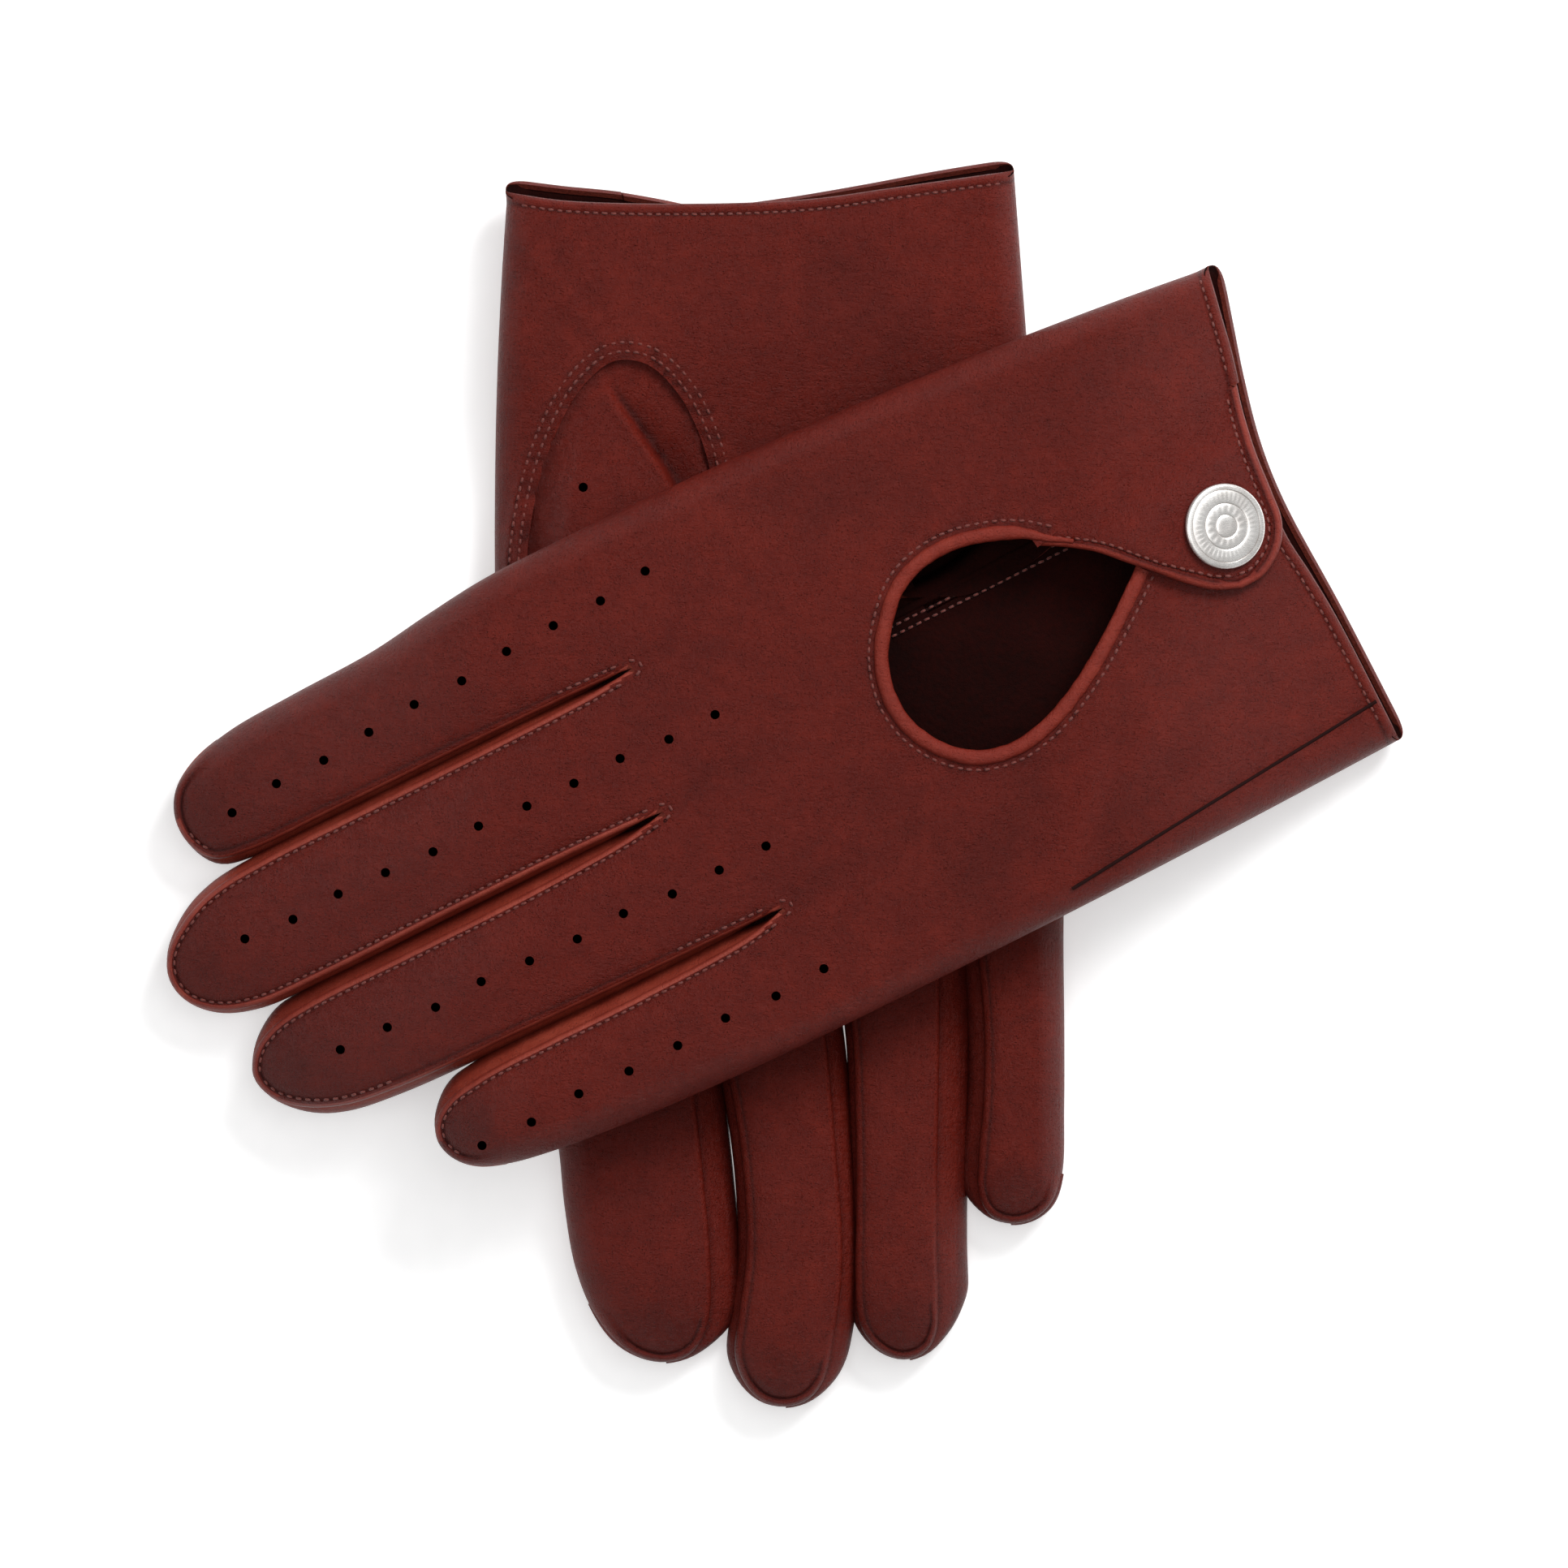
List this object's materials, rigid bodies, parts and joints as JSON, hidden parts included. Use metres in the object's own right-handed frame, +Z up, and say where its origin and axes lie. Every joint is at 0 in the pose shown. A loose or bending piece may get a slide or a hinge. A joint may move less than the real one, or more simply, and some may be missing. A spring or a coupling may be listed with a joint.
{
  "type": "leather driving gloves",
  "caption": "Leather driving gloves lying crossed, each with a keyhole back, a snap strap at the wrist and bending fingers.",
  "frame": {"origin": "the middle of the pair's outline, on the surface that the gloves lie on", "axes": "+Z up; +Y towards the right glove's cuff, to 4 degrees; +X towards the left glove's cuff, to 26 degrees"},
  "size_m": [0.2234, 0.2224, 0.0317],
  "materials": {
    "glove_leather": "satin aniline hairsheep leather, deep mahogany, fine grain",
    "side_leather": "the same leather, a shade lighter and redder",
    "binding_leather": "rolled leather binding, a shade lighter",
    "nickel": "satin nickel with a turned pattern"
  },
  "bodies": {
    "left_hand": {"left_back_panel": "glove_leather", "left_palm_panel": "glove_leather", "left_thumb_front": "glove_leather", "left_thumb_back": "glove_leather", "left_keyhole_binding": "binding_leather", "left_fork_index_middle": "side_leather", "left_fork_middle_ring": "side_leather", "left_fork_ring_little": "side_leather", "left_snap_stud": "nickel", "left_snap_post": "nickel"},
    "left_index": {"left_index_back": "glove_leather", "left_index_palm": "glove_leather", "left_index_fourchette_little_side": "side_leather"},
    "left_middle": {"left_middle_back": "glove_leather", "left_middle_palm": "glove_leather", "left_middle_fourchette_index_side": "side_leather", "left_middle_fourchette_little_side": "side_leather"},
    "left_ring": {"left_ring_back": "glove_leather", "left_ring_palm": "glove_leather", "left_ring_fourchette_index_side": "side_leather", "left_ring_fourchette_little_side": "side_leather"},
    "left_little": {"left_little_back": "glove_leather", "left_little_palm": "glove_leather", "left_little_fourchette_index_side": "side_leather"},
    "left_strap": {"left_strap": "glove_leather", "left_snap_cap": "nickel", "left_snap_socket": "nickel"},
    "right_hand": {"right_back_panel": "glove_leather", "right_palm_panel": "glove_leather", "right_thumb_front": "glove_leather", "right_thumb_back": "glove_leather", "right_keyhole_binding": "binding_leather", "right_fork_index_middle": "side_leather", "right_fork_middle_ring": "side_leather", "right_fork_ring_little": "side_leather", "right_snap_stud": "nickel", "right_snap_post": "nickel"},
    "right_index": {"right_index_back": "glove_leather", "right_index_palm": "glove_leather", "right_index_fourchette_little_side": "side_leather"},
    "right_middle": {"right_middle_back": "glove_leather", "right_middle_palm": "glove_leather", "right_middle_fourchette_index_side": "side_leather", "right_middle_fourchette_little_side": "side_leather"},
    "right_ring": {"right_ring_back": "glove_leather", "right_ring_palm": "glove_leather", "right_ring_fourchette_index_side": "side_leather", "right_ring_fourchette_little_side": "side_leather"},
    "right_little": {"right_little_back": "glove_leather", "right_little_palm": "glove_leather", "right_little_fourchette_index_side": "side_leather"},
    "right_strap": {"right_strap": "glove_leather", "right_snap_cap": "nickel", "right_snap_socket": "nickel"}
  },
  "joints": [
    {"name": "left_lift", "type": "slide", "parent": "right_hand", "child": "left_hand", "axis": [0, 0, 1], "range_m": [0, 0.06]},
    {"name": "left_index_bend", "type": "hinge", "parent": "left_hand", "child": "left_index", "pos_m": [-0.07894, 0.01186, 0.01973], "axis": [-0.4336, 0.8902, -0.1398], "range_deg": [0, 60]},
    {"name": "left_middle_bend", "type": "hinge", "parent": "left_hand", "child": "left_middle", "pos_m": [-0.06045, -0.00784, 0.02567], "axis": [-0.4355, 0.8941, -0.1047], "range_deg": [0, 60]},
    {"name": "left_ring_bend", "type": "hinge", "parent": "left_hand", "child": "left_ring", "pos_m": [-0.04227, -0.0269, 0.02817], "axis": [-0.4379, 0.899, -0.0027], "range_deg": [0, 60]},
    {"name": "left_little_bend", "type": "hinge", "parent": "left_hand", "child": "left_little", "pos_m": [-0.02268, -0.04428, 0.0282], "axis": [-0.4379, 0.899, 0], "range_deg": [0, 60]},
    {"name": "right_index_bend", "type": "hinge", "parent": "right_hand", "child": "right_index", "pos_m": [-0.02656, -0.0657, 0.01073], "axis": [-0.9971, -0.0767, 0], "range_deg": [0, 80]},
    {"name": "right_middle_bend", "type": "hinge", "parent": "right_hand", "child": "right_middle", "pos_m": [-0.00055, -0.05568, 0.01073], "axis": [-0.9971, -0.0767, 0], "range_deg": [0, 80]},
    {"name": "right_ring_bend", "type": "hinge", "parent": "right_hand", "child": "right_ring", "pos_m": [0.02047, -0.04604, 0.01073], "axis": [-0.9971, -0.0767, 0], "range_deg": [0, 80]},
    {"name": "right_little_bend", "type": "hinge", "parent": "right_hand", "child": "right_little", "pos_m": [0.03875, -0.0346, 0.01073], "axis": [-0.9971, -0.0767, 0], "range_deg": [0, 80]},
    {"name": "left_strap_open", "type": "hinge", "parent": "left_hand", "child": "left_strap", "pos_m": [0.06474, 0.06054, 0.02605], "axis": [-0.7589, -0.6234, 0.1882], "range_deg": [0, 120]},
    {"name": "right_strap_open", "type": "hinge", "parent": "right_hand", "child": "right_strap", "pos_m": [-0.022, 0.08559, 0.00418], "axis": [-0.3049, 0.948, 0.0912], "range_deg": [0, 120]}
  ]
}
